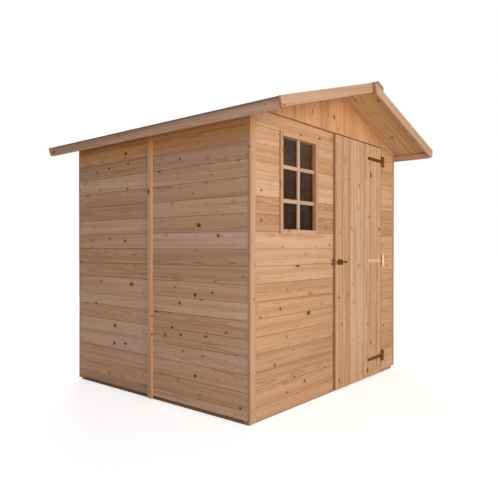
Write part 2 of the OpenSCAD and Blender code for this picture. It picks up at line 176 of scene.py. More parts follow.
class ShedMetal(bpy.types.PropertyGroup):
    """Screws, nails and the edges of the hinges and the bolt."""

    edge: length("Metal edge", "Rounding of the edges of the hinges and the bolt", 0.0004)
    screw_r: length("Screw head", "Radius of a screw's head", 0.0036)
    screw_h: length("Screw height", "Height of a screw's head", 0.0012)
    slot_w: length("Screw slot", "Width of the slot in a screw's head", 0.0009)
    nail_r: length("Nail head", "Radius of a nail's head", 0.0018)
    nail_h: length("Nail height", "Height of a nail's head", 0.0005)
    nail_inset: length("Nail inset", "Distance of a nail from its board's edge", 0.022)
    nail_step: length("Nail step", "Distance between the nails of a strip or batten", 0.27)


class ShedColours(bpy.types.PropertyGroup):
    """Colours of the finishes."""

    spruce: colour("Spruce", "Pale wood between the dark rings", (0.68, 0.4, 0.225))
    ring: colour("Ring", "Dark wood of the growth rings", (0.5, 0.255, 0.115))
    # Painted shade and warm bounce light under the eaves
    eave_shade: colour("Eave shade", "Deeper wood just under the eaves", (0.63, 0.288, 0.09))
    # Painted shade along the ground
    ground_shade: colour("Ground shade", "Greyer wood close to the ground", (0.53, 0.36, 0.215))
    # Painted grey sheen on the palest boards
    grey_sheen: colour("Grey sheen", "Greyer wood of the palest boards", (0.68, 0.425, 0.265))
    blush: colour("Blush", "Pinker wood of some boards", (0.66, 0.383, 0.228))
    amber: colour("Amber", "Yellower wood of some boards", (0.69, 0.405, 0.212))
    gable: colour("Gable", "Pale wood of the gables", (0.7, 0.375, 0.172))
    trim: colour("Trim", "Pale wood of strips, barge boards and ridge", (0.6, 0.378, 0.232))
    door: colour("Door", "Pale wood of the door", (0.71, 0.45, 0.275))
    bars: colour("Bars", "Pale wood of the window's bars", (0.65, 0.457, 0.32))
    roof: colour("Roof", "Pale wood of the roof boards", (0.82, 0.495, 0.208))
    # End grain, darkened further by a painted shadow along the roof's edge
    roof_end_shade: colour("Roof ends", "Ends of the roof boards", (0.2, 0.13, 0.105))
    sawn: colour("Sawn", "Pale wood of the frame inside", (0.66, 0.46, 0.27))
    stain: colour("Stain", "Brown of the treated base", (0.32, 0.16, 0.075))
    stain_ring: colour("Stain ring", "Dark rings of the treated base", (0.18, 0.088, 0.04))
    knot: colour("Knot", "Heart of a dead knot", (0.16, 0.045, 0.008))
    sound_knot: colour("Sound knot", "Heart of a knot that is grown in", (0.36, 0.15, 0.055))
    bark: colour("Bark", "Dark rim round a dead knot", (0.075, 0.02, 0.004))
    bronze: colour("Bronze", "Lacquer of the hinges and the bolt", (0.135, 0.044, 0.006))
    bronze_worn: colour("Worn bronze", "Lacquer where it is rubbed", (0.23, 0.095, 0.02))
    brass: colour("Brass", "Plating of the middle hinge", (0.97, 0.69, 0.34))
    brass_dull: colour("Dull brass", "Plating where it has dulled", (0.74, 0.47, 0.225))
    pane: colour("Pane", "Tint of the glass and its film of dust", (0.78, 0.48, 0.29))
    # Painted grey reflection on the upper panes
    pane_reflection: colour("Pane reflection", "Greyer film on the upper panes", (0.78, 0.56, 0.42))
    floor: colour("Floor", "Studio floor", (0.85, 0.85, 0.85))
    sky: colour("Sky light", "Light from all round", (0.9, 0.93, 1.0))
    key: colour("Key light", "Light from the front", (1.0, 0.9, 0.66))
    fill: colour("Fill light", "Light from the near corner", (0.6, 0.66, 1.0))


class ShedStage(bpy.types.PropertyGroup):
    """The camera, the lamps and the floor."""

    eye: point("Eye", "Place of the camera", (-3.3396, -2.8498, 1.0548))
    heading: angle("Heading", "Turn of the camera from +Y to +X", 50.28)
    dip: angle("Dip", "Tilt of the camera below level", 0.307)
    lens: amount("Lens", "Focal length in millimetres", 37.79, 1.0)
    key_place: point("Key place", "Place of the key lamp", (-1.6, -8.0, 1.7))
    key_size: length("Key size", "Side of the key lamp", 5.0)
    key_power: amount("Key power", "Power of the key lamp in watts", 378.0)
    fill_place: point("Fill place", "Place of the fill lamp", (-4.1, -3.7, 1.3))
    fill_size: length("Fill size", "Side of the fill lamp", 3.0)
    fill_power: amount("Fill power", "Power of the fill lamp in watts", 98.0)
    back_place: point("Back place", "Place of the back lamp", (4.0, 5.0, 5.0))
    back_size: length("Back size", "Side of the back lamp", 5.0)
    back_power: amount("Back power", "Power of the back lamp in watts", 330.0)
    aim: point("Aim", "Point that the lamps face", (0.0, 0.0, 1.0))
    sky_power: amount("Sky power", "Strength of the light from all round", 0.24)
    floor_size: length("Floor size", "Side of the studio floor", 60.0)
    glow_near: length("Glow start", "Distance from the shed where the floor starts to whiten", 2.5)
    glow_far: length("Glow end", "Distance from the shed where the floor is white", 7.0)
    glow_level: amount("Glow level", "Strength of the floor's glow close to the shed", 0.62)


class ShedSettings(bpy.types.PropertyGroup):
    """All that a user may change."""

    boards: PointerProperty(type=ShedBoards)
    window: PointerProperty(type=ShedWindow)
    metal: PointerProperty(type=ShedMetal)
    colours: PointerProperty(type=ShedColours)
    stage: PointerProperty(type=ShedStage)


def settings():
    return bpy.context.scene.shed


# Solids: copies of the frame's nodes, cut, chamfered and taken apart


def merged(name):
    """A closed copy of a node's solid, with each flat side as one face."""
    bm = bmesh.new()
    bm.from_mesh(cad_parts[name].data)
    bmesh.ops.remove_doubles(bm, verts=bm.verts[:], dist=MERGE)
    flat = math.radians(0.5)
    bmesh.ops.dissolve_limit(bm, angle_limit=flat, verts=bm.verts[:], edges=bm.edges[:])
    bm.normal_update()
    return bm


def append(target, bm):
    """Adds a mesh to another one, and frees it."""
    mesh = bpy.data.meshes.new("part")
    bm.to_mesh(mesh)
    bm.free()
    target.from_mesh(mesh)
    bpy.data.meshes.remove(mesh)


def split(bm, place, normal, clear=False):
    """Cuts a mesh at a plane, and clears what lies beyond it if asked to."""
    geom = bm.verts[:] + bm.edges[:] + bm.faces[:]
    bmesh.ops.bisect_plane(bm, geom=geom, dist=MERGE, plane_co=place, plane_no=normal, clear_outer=clear)


def cut_between(bm, axis, low, high):
    """Keeps what lies between two planes across an axis, and closes the cuts."""
    for place, sense in ((low, -1.0), (high, 1.0)):
        split(bm, axis * place, axis * sense, clear=True)
        rims = [edge for edge in bm.edges if edge.is_boundary]
        if rims:
            bmesh.ops.holes_fill(bm, edges=rims, sides=0)
    bm.normal_update()


def chamfer(bm, edges, width, segments=1):
    if edges and width > 0:
        bmesh.ops.bevel(
            bm, geom=edges, offset=width, offset_type="OFFSET", segments=segments, profile=0.5,
            affect="EDGES", clamp_overlap=True, material=-1,
        )
        bm.normal_update()


def edges_between(bm, first, second):
    """The edges where a face along the first direction meets one along the second or its opposite."""
    found = []
    for edge in bm.edges:
        if len(edge.link_faces) != 2:
            continue
        a, b = (face.normal for face in edge.link_faces)
        if any(p.dot(first) > ALONG and abs(q.dot(second)) > ALONG for p, q in ((a, b), (b, a))):
            found.append(edge)
    return found


def sharp_edges(bm, degrees=30):
    limit = math.radians(degrees)
    return [edge for edge in bm.edges if len(edge.link_faces) == 2 and edge.calc_face_angle() > limit]


def loose_parts(bm):
    """The solids of a mesh, each as a mesh of its own. They are sorted by their low corners, so that
    their order is the same each run."""
    bm.faces.index_update()
    left = set(bm.faces)
    parts = []
    while left:
        heap = [left.pop()]
        part = set()
        while heap:
            face = heap.pop()
            part.add(face.index)
            for edge in face.edges:
                for other in edge.link_faces:
                    if other in left:
                        left.remove(other)
                        heap.append(other)
        copy = bm.copy()
        copy.faces.index_update()
        rest = [face for face in copy.faces if face.index not in part]
        bmesh.ops.delete(copy, geom=rest, context="FACES")
        copy.normal_update()
        parts.append(copy)
    bm.free()
    return sorted(parts, key=lambda part: box_of(part)[0][:], reverse=True)


def block(low, high):
    """A box between two corners."""
    bm = bmesh.new()
    size = high - low
    place = Matrix.Translation((low + high) / 2) @ Matrix.Diagonal((*size, 1))
    bmesh.ops.create_cube(bm, size=1, matrix=place)
    bm.normal_update()
    return bm


def longest_edge(bm):
    edge = max(bm.edges, key=lambda e: e.calc_length())
    return (edge.verts[1].co - edge.verts[0].co).normalized()


def widest_face(bm):
    return max(bm.faces, key=lambda f: f.calc_area()).normal.copy()


def span(verts, axis):
    places = [vert.co.dot(axis) for vert in verts]
    return min(places), max(places)


def box_of(bm):
    """The two corners of the box round a mesh."""
    return tuple(Vector(corner) for corner in zip(*(span(bm.verts, axis) for axis in (X, Y, Z))))


def part_boxes(node):
    """The two corners of the box round each solid of a node."""
    boxes = []
    for part in loose_parts(merged(node)):
        boxes.append(box_of(part))
        part.free()
    return boxes


class Stack:
    """Boards or timbers gathered into one piece, each with grain of its own."""

    def __init__(self, seed, seams=WALL_SEAMS):
        self.bm = bmesh.new()
        self.parts = []
        self.random = random.Random(seed)
        self.seams = seams

    def add(self, bm, along, out, joined=(False, False), dark=None):
        """Adds a part that grows along one direction and faces another. Joined says which of its two
        sides meet another board. Dark gives the direction of the sides that get painted shade, and how dark
        it is."""
        first = len(self.bm.faces)
        append(self.bm, bm)
        self.parts.append((first, len(self.bm.faces), along.normalized(), out.normalized(), joined, dark))

    def add_boards(self, name, across, along, out, joints, face_cut=None, dark=None):
        """Saws a node's solid into boards at the joints, with chamfers along the boards' edges."""
        boards = settings().boards
        places = [joints[0] - CLEAR, *joints[1:-1], joints[-1] + CLEAR]
        sense = 1 if out.cross(along).dot(across) > 0 else -1
        for low, high in zip(places, places[1:]):
            bm = merged(name)
            cut_between(bm, across, low, high)
            chamfer(bm, edges_between(bm, out, across), face_cut or boards.face_cut)
            chamfer(bm, edges_between(bm, -out, across), boards.back_cut)
            self.add(bm, along, out, (low > places[0], high < places[-1])[::sense], dark)

    def add_timber(self, bm, along=None, edge=None, segments=2, dark=None):
        """Adds one planed timber with rounded edges."""
        grain = along or longest_edge(bm)
        face = widest_face(bm)
        chamfer(bm, sharp_edges(bm), edge or settings().boards.timber_edge, segments)
        self.add(bm, grain, face, dark=dark)

    def add_timbers(self, name, edge=None, dark=None):
        for part in loose_parts(merged(name)):
            self.add_timber(part, edge=edge, dark=dark)

    def mark(self):
        """Writes each part's grain and tone to the mesh: place along, across and through the tree,
        and tone, blush, the darkness of joints and of painted shade on dark sides, and end grain."""
        grain = self.bm.verts.layers.float_vector.new("grain")
        board = self.bm.loops.layers.float_color.new("board")
        self.bm.faces.ensure_lookup_table()
        self.bm.normal_update()
        for first, last, along, out, joined, dark in self.parts:
            faces = self.bm.faces[first:last]
            across = out.cross(along).normalized()
            verts = {vert for face in faces for vert in face.verts}
            low, high = span(verts, across)
            near, far = span(verts, out)
            start = self.random.uniform(0, TREE)
            heart = Vector((self.random.uniform(-HEART_SIDE, HEART_SIDE), self.random.choice((-1, 1))))
            heart.y *= self.random.uniform(*HEART_DEPTH)
            tone, blush = self.random.random(), self.random.random()
            seams = [self.random.uniform(*self.seams) if side else 0.0 for side in joined]
            for vert in verts:
                side = vert.co.dot(across) - (low + high) / 2
                deep = vert.co.dot(out) - (near + far) / 2
                vert[grain] = (vert.co.dot(along) + start, side + heart.x, deep + heart.y)
            for face in faces:
                end = 1.0 if abs(face.normal.dot(along)) > MOSTLY else 0.0
                flank = abs(face.normal.dot(across)) > PARTLY
                # Sides that look along the dark direction get painted shade
                side_shade = dark[1] if dark and abs(face.normal.dot(dark[0])) > MOSTLY else 0.0
                for loop in face.loops:
                    place = loop.vert.co.dot(across)
                    at_joint = min(place - low, high - place) < AT_EDGE
                    seam = seams[0] if place - low < high - place else seams[1]
                    loop[board] = (tone, blush, max(side_shade, seam if flank and at_joint else 0.0), end)

    def finish(self, name, finish, body, slot, nodes=()):
        self.mark()
        return make_piece(name, self.bm, finish, body, nodes)


def settle(bm):
    """Sorts a mesh's corners and faces by their places, so that their order is the same each run."""
    for elements, place in ((bm.verts, lambda v: v.co), (bm.faces, lambda f: f.calc_center_median())):
        ranked = sorted(elements, key=lambda element: [round(part, DIGITS) for part in place(element)])
        for rank, element in enumerate(ranked):
            element.index = rank
        elements.sort()


def put(name, data):
    """Links a new object at the origin."""
    thing = bpy.data.objects.new(name, data)
    bpy.context.scene.collection.objects.link(thing)
    return thing


def make_piece(name, bm, finish, body, nodes=(), smooth=False):
    """Makes a piece of a mesh, which rides on a body and stands for the nodes."""
    mesh = bpy.data.meshes.new(name)
    settle(bm)
    bm.to_mesh(mesh)
    bm.free()
    if not mesh.polygons:
        raise RuntimeError(f"{name} has no faces")
    if smooth:
        mesh.shade_smooth()
        mesh.set_sharp_from_angle(angle=math.radians(35))
    mesh.materials.append(finish)
    piece = put(name, mesh)
    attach(piece, body)
    if nodes:
        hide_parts(*nodes)
    return piece


def board_joints(low, high, cover, line):
    """Places of the boards' joints from low to high, on a grid through one known joint."""
    first = math.ceil((low + LEAST_BOARD - line) / cover)
    last = math.floor((high - LEAST_BOARD - line) / cover)
    return [low, *(line + cover * i for i in range(first, last + 1)), high]


def even_joints(low, high, count):
    return [low + (high - low) * i / count for i in range(count + 1)]


def fitted_joints(low, high, cover):
    """Even joints from low to high, with boards about as wide as they should be."""
    return even_joints(low, high, round((high - low) / cover))


# Finishes


def node_method(operation, swapped=False):
    """A method that adds a math node to a value's tree."""

    def method(self, *others):
        return self.nodes.math(operation, *((*others, self) if swapped else (self, *others)))

    return method


class Value:
    """A number in a node tree. Arithmetic on it adds nodes."""

    __add__ = node_method("ADD")
    __radd__ = node_method("ADD", swapped=True)
    __sub__ = node_method("SUBTRACT")
    __mul__ = node_method("MULTIPLY")
    __truediv__ = node_method("DIVIDE")
    __pow__ = node_method("POWER")
    __rpow__ = node_method("POWER", swapped=True)
    root = node_method("SQRT")
    fraction = node_method("FRACT")
    most = node_method("MAXIMUM")

    def __init__(self, nodes, socket):
        self.nodes = nodes
        self.socket = socket

    def step(self, low, high, start=0.0, end=1.0):
        """A smooth step from one level to another."""
        inputs = {"Value": self, "From Min": low, "From Max": high, "To Min": start, "To Max": end}
        return self.nodes.value("MapRange", inputs, interpolation_type="SMOOTHSTEP")

    def fall(self, low, high):
        """A smooth step from one to nought."""
        return self.step(low, high, 1.0, 0.0)

    def spread(self, start, end):
        """The value, from 0 to 1, spread between two levels."""
        return self.nodes.value("MapRange", {"Value": self, "To Min": start, "To Max": end})


class Nodes:
    """A node tree, with short ways to add and join its nodes."""

    def __init__(self, owner):
        owner.use_nodes = True
        self.tree = owner.node_tree
        self.tree.nodes.clear()

    def node(self, kind, inputs=None, **options):
        node = self.tree.nodes.new("ShaderNode" + kind)
        for key, value in options.items():
            setattr(node, key, value)
        for key, value in (inputs or {}).items():
            self.feed(node.inputs[key], value)
        return node

    def feed(self, socket, value):
        """Joins a value to a socket, or sets it there."""
        if isinstance(value, Value):
            value = value.socket
        if isinstance(value, bpy.types.NodeSocket):
            self.tree.links.new(value, socket)
        elif socket.type == "RGBA":
            socket.default_value = (*value, 1)
        else:
            socket.default_value = value

    def value(self, kind, inputs=None, output=0, **options):
        return Value(self, self.node(kind, inputs, **options).outputs[output])

    def math(self, operation, *values):
        return self.value("Math", dict(enumerate(values)), operation=operation)

    def parts(self, vector):
        """The three parts of a vector."""
        return [Value(self, part) for part in self.node("SeparateXYZ", {"Vector": vector}).outputs]

    def channels(self, tint):
        """The three channels of a colour."""
        return [Value(self, part) for part in self.node("SeparateColor", {"Color": tint}).outputs]

    def place(self):
        return self.node("TexCoord").outputs["Object"]

    def vector(self, x, y, z=0.0):
        return self.node("CombineXYZ", {"X": x, "Y": y, "Z": z}).outputs[0]

    def scaled(self, vector, x, y, z=0.0):
        return self.node("VectorMath", {0: vector, 1: (x, y, z)}, operation="MULTIPLY").outputs[0]

    def noise(self, vector, scale=1.0, detail=2.0, roughness=0.5):
        inputs = {"Vector": vector, "Scale": scale, "Detail": detail, "Roughness": roughness}
        return self.value("TexNoise", inputs)

    def mix(self, share, first, second, blend="MIX"):
        inputs = {0: share, 6: first, 7: second}
        return self.node("Mix", inputs, data_type="RGBA", blend_type=blend, clamp_factor=True).outputs[2]

    def shade(self, tint, level):
        """A colour made lighter or darker by a level."""
        return self.mix(1.0, tint, self.vector(level, level, level), "MULTIPLY")

    def bump(self, strength, distance, height):
        inputs = {"Strength": strength, "Distance": distance, "Height": height}
        return self.node("Bump", inputs).outputs[0]


class Finish(Nodes):
    """A node material."""

    def __init__(self, name):
        self.material = bpy.data.materials.new(name)
        super().__init__(self.material)

    def surface(self, inputs):
        shader = self.node("BsdfPrincipled", inputs)
        self.node("OutputMaterial", {"Surface": shader.outputs[0]})
        return self.material


def made_once(build):
    """Builds a finish when it is first asked for, and hands it out again after that."""

    def find():
        return bpy.data.materials.get(build.__name__) or build(Finish(build.__name__))

    return find


def knot_marks(finish, grain, share):
    """Knots in a share of the cells that the wood is divided into: their hearts and dark rims, the
    wood that bends round them, their radius, and whether they are dead."""
    x, y, _ = finish.parts(grain)
    cell_x, cell_y = x * KNOTS_ALONG, y * KNOTS_ACROSS
    cell = {"Vector": finish.vector(cell_x, cell_y), "Scale": 1.0, "Randomness": 0.8}
    cells = finish.node("TexVoronoi", cell, voronoi_dimensions="2D").outputs
    border = finish.value("TexVoronoi", cell, voronoi_dimensions="2D", feature="DISTANCE_TO_EDGE")
    knot_x, knot_y, _ = finish.parts(cells["Position"])
    chance, size, age = finish.channels(cells["Color"])
    there = chance.step(1.0 - share, 1.02 - share)
    radius = (size**2.4).spread(0.0026, 0.0118)
    slant = (size * 9.7).fraction().spread(0.09, 0.21)
    off_x = (cell_x - knot_x) * slant
    off_y = (cell_y - knot_y) * (1.0 / KNOTS_ACROSS)
    apart = (off_x * off_x + off_y * off_y).root()
    reach = apart / radius + finish.noise(grain, 160).spread(-0.3, 0.3)
    heart = reach.fall(0.8, 1.1) * there
    rim = reach.step(0.5, 0.95) * reach.fall(1.0, 1.35) * there
    halo = reach.fall(0.9, 3.4) * there * border.step(0.0, 0.2)
    return heart, rim, halo, radius, age.step(0.25, 0.7)


def pin_marks(finish, grain):
    """Pin knots: small dots in flocks on some stretches."""
    cell = {"Vector": finish.scaled(grain, 13, 30), "Scale": 1.0}
    cells = finish.node("TexVoronoi", cell, voronoi_dimensions="2D").outputs
    chance, size, _ = finish.channels(cells["Color"])
    reach = Value(finish, cells["Distance"]) / size.spread(0.04, 0.11)
    flock = finish.noise(finish.scaled(grain, 1.7, 7), 1.0, 1).step(0.43, 0.56)
    return reach.fall(0.6, 1.1) * chance.step(0.42, 0.44) * flock


def late_wood(finish, grain, swerve):
    """Dark wood of the growth rings, by the distance from a heart line that wanders and tapers along
    the board and swerves at knots."""
    x, y, z = finish.parts(grain)
    wander = finish.noise(finish.vector(x * 1.3, 3.7), 1.0, 1).spread(-0.014, 0.014)
    ripple = finish.noise(finish.scaled(grain, 6, 26, 26)).spread(-0.0035, 0.0035)
    out = (y * y + z * z).root() + x * 0.003 + wander + ripple + swerve
    uneven = finish.noise(finish.vector(out * 60, 1.3), 1.0, 1).spread(-0.9, 0.9)
    year = (out / RING_STEP + uneven).fraction()
    return year.step(0.3, 0.88) * year.fall(0.9, 1.0)


def spruce(
    finish,
    pale,
    ring="ring",
    contrast=0.6,
    knots=0.5,
    tones=(0.8, 1.07),
    gloss=0.6,
    relief=0.25,
    ends=None,
    eave=None,
    eave_shade_share=1.0,
    lip=None,
    ground_shade=None,
):
    """Spruce: growth rings, fibres, wide bands, knots that bend the grain, a tone for each board and
    dark joints. End grain is darker or has a colour of its own. Painted light and shade: boards near the
    height of an eave get painted shade and warm bounce light, a board gets a painted shadow just under a
    lip, painted shade greys it below the given heights near the ground, the palest boards get a painted
    grey sheen, and sides that look along a dark direction get painted shade."""
    colours = settings().colours
    pale, ring = getattr(colours, pale), getattr(colours, ring)
    ends = getattr(colours, ends) if ends else [0.8 * channel for channel in ring]
    grain = finish.node("Attribute", attribute_name="grain").outputs["Vector"]
    board = finish.node("Attribute", attribute_name="board").outputs
    tone, blush, seam_and_side_shade = finish.channels(board["Color"])
    level = finish.parts(finish.place())[2]

    heart, rim, halo, radius, dead = knot_marks(finish, grain, knots)
    late = late_wood(finish, grain, radius * halo * 1.5)
    fibre = finish.noise(finish.scaled(grain, 5, 420, 420), 1.0, 3, 0.6)
    band = finish.noise(finish.scaled(grain, 0.7, 30, 30), 1.0, 2, 0.55)
    dark = late * contrast * tone.spread(1.35, 0.75) + fibre.spread(-0.25, 0.25)
    dark = dark + band.step(0.28, 0.72).spread(-0.3, 0.5)
    wood = finish.mix(dark.most(0.0), pale, ring)

    shifts = [
        (colours.blush, blush.step(0.45, 1.0, 0.0, 0.9)),
        (colours.amber, blush.step(0.0, 0.4, 0.8, 0.0)),
        # The palest boards get a painted grey sheen
        (colours.grey_sheen, tone.step(0.5, 0.95)),
    ]
    # Painted shade and warm bounce light: the wood deepens up towards the eave's height
    if eave:
        shifts.append((colours.eave_shade, level.step(eave - EAVE_SHADE_REACH[0], eave - EAVE_SHADE_REACH[1], 0.0, eave_shade_share)))
    # Painted shade along the ground: greyer at the foot
    if ground_shade:
        shifts.append((colours.ground_shade, level.fall(*ground_shade)))
    for kind, share in shifts:
        tinted = finish.mix(1.0, wood, [k / s for k, s in zip(kind, colours.spruce)], "MULTIPLY")
        wood = finish.mix(share, wood, tinted)
    wood = finish.shade(wood, tone.spread(*tones))
    # Painted shadow just under a lip
    if lip:
        wood = finish.shade(wood, level.step(lip - LIP_SHADE[0], lip - LIP_SHADE[1], 1.0, LIP_SHADE_LEVEL))

    wood = finish.mix(halo * 0.45, wood, ring)
    wood = finish.mix(heart * 0.95, wood, finish.mix(dead, colours.sound_knot, colours.knot))
    wood = finish.mix(rim * dead * 0.8, wood, colours.bark)
    wood = finish.mix(pin_marks(finish, grain) * 0.7, wood, colours.knot)
    # Dark joints, and painted shade on the sides that look along the dark direction
    seam = finish.vector(*(channel**seam_and_side_shade for channel in SEAM_TINT))
    wood = finish.mix(1.0, wood, seam, "MULTIPLY")
    wood = finish.mix(Value(finish, board["Alpha"]) * 0.85, wood, ends)
    return finish.surface(
        {
            "Base Color": wood,
            "Roughness": gloss + fibre.spread(-0.08, 0.08) + late * -0.05,
            "Specular IOR Level": 0.1,
            "Normal": finish.bump(relief, 0.0008, late * 0.5 + fibre * 0.6 + heart * -0.4),
        }
    )


# The woods: the colour between the rings, and what else differs from plain spruce
WOODS = {
    "spruce_wall": ("spruce", dict(contrast=0.5, knots=0.62, tones=(0.86, 1.03))),
    "spruce_gable": ("gable", dict(contrast=0.36, knots=0.38, tones=(0.88, 1.03))),
    "spruce_side": ("spruce", dict(knots=0.66, tones=(0.84, 1.06), eave=WALL_TOP, lip=EAVE_FOOT)),
    "spruce_rail": ("spruce", dict(contrast=0.5, knots=0.62, tones=(0.86, 1.03), ground_shade=GROUND_SHADE)),
    "spruce_batten": ("spruce", dict(contrast=0.5, knots=0.2, eave=WALL_TOP, lip=EAVE_FOOT)),
    "spruce_strip": ("trim", dict(contrast=0.42, knots=0.3, eave=WALL_TOP, eave_shade_share=0.5)),
    "spruce_eave": ("spruce", dict(contrast=0.5, tones=(0.9, 1.08), lip=EAVE_TOP)),
    "spruce_door": ("door", dict(knots=0.62)),
    "spruce_trim": ("trim", dict(contrast=0.42, knots=0.3)),
    "spruce_bars": ("bars", dict(contrast=0.3, knots=0.1)),
    # The roof boards' ends get a painted shadow
    "spruce_roof": ("roof", dict(contrast=0.45, knots=0.4, ends="roof_end_shade")),
    "spruce_sawn": ("sawn", dict(contrast=0.5, gloss=0.78, relief=0.5)),
    "treated_base": ("stain", dict(ring="stain_ring", knots=0.25, gloss=0.75, relief=0.5)),
}


def wood(name):
    """One of the woods, built when it is first asked for."""
    pale, options = WOODS[name]
    return bpy.data.materials.get(name) or spruce(Finish(name), pale, **options)


@made_once
def bronze_lacquer(finish):
    """Dark lacquer with rubbed, lighter patches and fine specks."""
    colours = settings().colours
    place = finish.place()
    rubbed = finish.noise(place, 90, 4, 0.6).step(0.5, 0.72)
    specks = finish.noise(place, 1400)
    tint = finish.mix(rubbed, colours.bronze, colours.bronze_worn)
    return finish.surface(
        {
            "Base Color": finish.shade(tint, specks.spread(0.75, 1.2)),
            "Roughness": specks.spread(0.42, 0.56) + rubbed * -0.1,
            "Specular IOR Level": 0.08,
            "Normal": finish.bump(0.15, 0.0002, specks),
        }
    )


def plating(finish, bright, dull, metallic):
    """Yellow plating with dull clouds and fine rubbing marks, and painted shade on the knuckles, which
    stand in front of the plate's middle."""
    low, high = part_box("middle_hinge_plate")
    middle, blur = (low.y + high.y) / 2, 0.001
    place = finish.place()
    cloud = finish.noise(place, 60, 3).step(0.4, 0.75)
    marks = finish.noise(finish.scaled(place, 90, 1, 2600))
    # Painted shade on the knuckles: what stands in front of the plate's middle turns to dark bronze
    knuckle_shade = finish.parts(place)[1].step(middle - blur, middle + blur, 0.97, 0.0)
    return finish.surface(
        {
            "Base Color": finish.mix(knuckle_shade, finish.mix(cloud, bright, dull), settings().colours.bronze),
            "Metallic": metallic,
            "Roughness": marks.spread(0.2, 0.4) + cloud * 0.12 + knuckle_shade * 0.2,
            "Normal": finish.bump(0.12, 0.0001, marks),
        }
    )


@made_once
def brass_plating(finish):
    colours = settings().colours
    return plating(finish, colours.brass, colours.brass_dull, 0.9)


@made_once
def dull_brass(finish):
    colours = settings().colours
    return plating(finish, colours.brass_dull, colours.trim, 0.45)


@made_once
def window_pane(finish):
    """Clear glass with a thin, uneven film of dust, and a painted reflection that makes the panes lighter and
    greyer further up.
    """
    colours = settings().colours
    low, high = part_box("window_glass")
    place = finish.place()
    film = finish.noise(place, 7, 4, 0.6)
    # Painted reflection: the panes grow lighter and greyer further up
    rise = finish.parts(place)[2].step(low.z, high.z)
    level = film.step(0.35, 0.7, 0.85, 1.15) * rise.spread(0.75, 1.45)
    return finish.surface(
        {
            "Base Color": finish.shade(finish.mix(rise, colours.pane, colours.pane_reflection), level),
            "Roughness": film.step(0.35, 0.8, 0.0, 0.1),
            "Transmission Weight": 0.981,
            "IOR": 1.12,
            "Normal": finish.bump(0.08, 0.002, finish.noise(place, 5, 1)),
        }
    )


def looked_at(nodes):
    """One where the camera, a reflection or a pane looks, and nought for other light."""
    path = nodes.node("LightPath").outputs
    seen = Value(nodes, path["Is Camera Ray"])
    return seen.most(path["Is Glossy Ray"]).most(path["Is Transmission Ray"])


@made_once
def studio_floor(finish):
    """A pale floor that the camera sees as white where no shadow falls."""
    stage = settings().stage
    place = finish.place()
    away = finish.value("VectorMath", {0: place}, "Value", operation="LENGTH")
    glow = away.step(stage.glow_near, stage.glow_far, stage.glow_level, 1.0)
    cloud = finish.noise(place, 1.5, 3).spread(0.985, 1.0)
    return finish.surface(
        {
            "Base Color": finish.shade(settings().colours.floor, cloud),
            "Roughness": 0.9,
            "Specular IOR Level": 0.1,
            "Emission Color": (1, 1, 1),
            "Emission Strength": looked_at(finish) * glow,
        }
    )


def white_world(power, tint):
    """Even light from all round, white where the camera, a reflection or a pane looks past the object."""
    world = bpy.data.worlds.new("studio_world")
    nodes = Nodes(world)
    light = nodes.node("Background", {"Color": tint, "Strength": power}).outputs[0]
    white = nodes.node("Background", {"Color": (1, 1, 1), "Strength": 1.0}).outputs[0]
    both = nodes.node("MixShader", {0: looked_at(nodes), 1: light, 2: white}).outputs[0]
    nodes.node("OutputWorld", {"Surface": both})
    return world


# Pieces


class ShedOperator(bpy.types.Operator):
    """Shared form of the operators that make the shed's pieces."""

    bl_options = {"REGISTER", "UNDO"}

    def execute(self, context):
        self.build(context.scene.shed)
        return {"FINISHED"}


# The directions that the walls face and their boards run along
WALLS = {
    "left_wall_front": (-X, Y),
    "left_wall_back": (-X, Y),
    "right_wall_front": (X, Y),
    "right_wall_back": (X, Y),
    "back_wall_left": (Y, X),
    "back_wall_right": (Y, X),
    "front_left_panel": (-Y, X),
    "front_right_panel": (-Y, X),
}


class SHED_OT_wall_boards(ShedOperator):
    """Lays the horizontal boards of the side, back and front walls."""

    bl_idname = "shed.wall_boards"
    bl_label = "Wall boards"

    def build(self, shed):
        for seed, (name, (out, along)) in enumerate(WALLS.items()):
            low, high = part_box(name)
            joints = board_joints(low.z, high.z, shed.boards.wall_cover, shed.boards.wall_line)
            stack = Stack(seed + SEEDS["walls"])
            stack.add_boards(name, Z, along, out, joints)
            finish = wood("spruce_side" if along == Y else "spruce_wall")
            stack.finish(name + "_boards", finish, "root", "wall_boards", [name])


class SHED_OT_gable_boards(ShedOperator):
    """Stands the upright boards of the two gables."""

    bl_idname = "shed.gable_boards"
    bl_label = "Gable boards"

    def build(self, shed):
        for seed, (name, out) in enumerate((("front_gable", -Y), ("back_gable", Y))):
            low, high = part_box(name)
            joints = board_joints(low.x, high.x, shed.boards.gable_cover, 0.0)
            stack = Stack(seed + SEEDS["gables"], GABLE_SEAMS)
            stack.add_boards(name, X, Z, out, joints, shed.boards.vee_cut)
            stack.finish(name + "_boards", wood("spruce_gable"), "root", "wall_boards", [name])


def roof_top(name):
    """The direction that a roof slope faces, and a point on its upper side."""
    solid = merged(name)
    slopes = (face for face in solid.faces if abs(face.normal.y) < PARTLY)
    top = max(slopes, key=lambda face: face.normal.z)
    up, spot = top.normal.copy(), top.calc_center_median()
    solid.free()
    return up, spot


class SHED_OT_roof_boards(ShedOperator):
    """Lays the roof boards, which run down the slopes."""

    bl_idname = "shed.roof_boards"
    bl_label = "Roof boards"

    def build(self, shed):
        for seed, name in enumerate(("left_roof_panel", "right_roof_panel")):
            low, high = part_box(name)
            up = roof_top(name)[0]
            stack = Stack(seed + SEEDS["roof"])
            stack.add_boards(name, Y, up.cross(Y), up, fitted_joints(low.y, high.y, shed.boards.roof_cover))
            stack.finish(name + "_boards", wood("spruce_roof"), "root", "roof_boards", [name])


STRIPS = ["front_left_strip", "front_right_strip", "back_left_strip", "back_right_strip"]
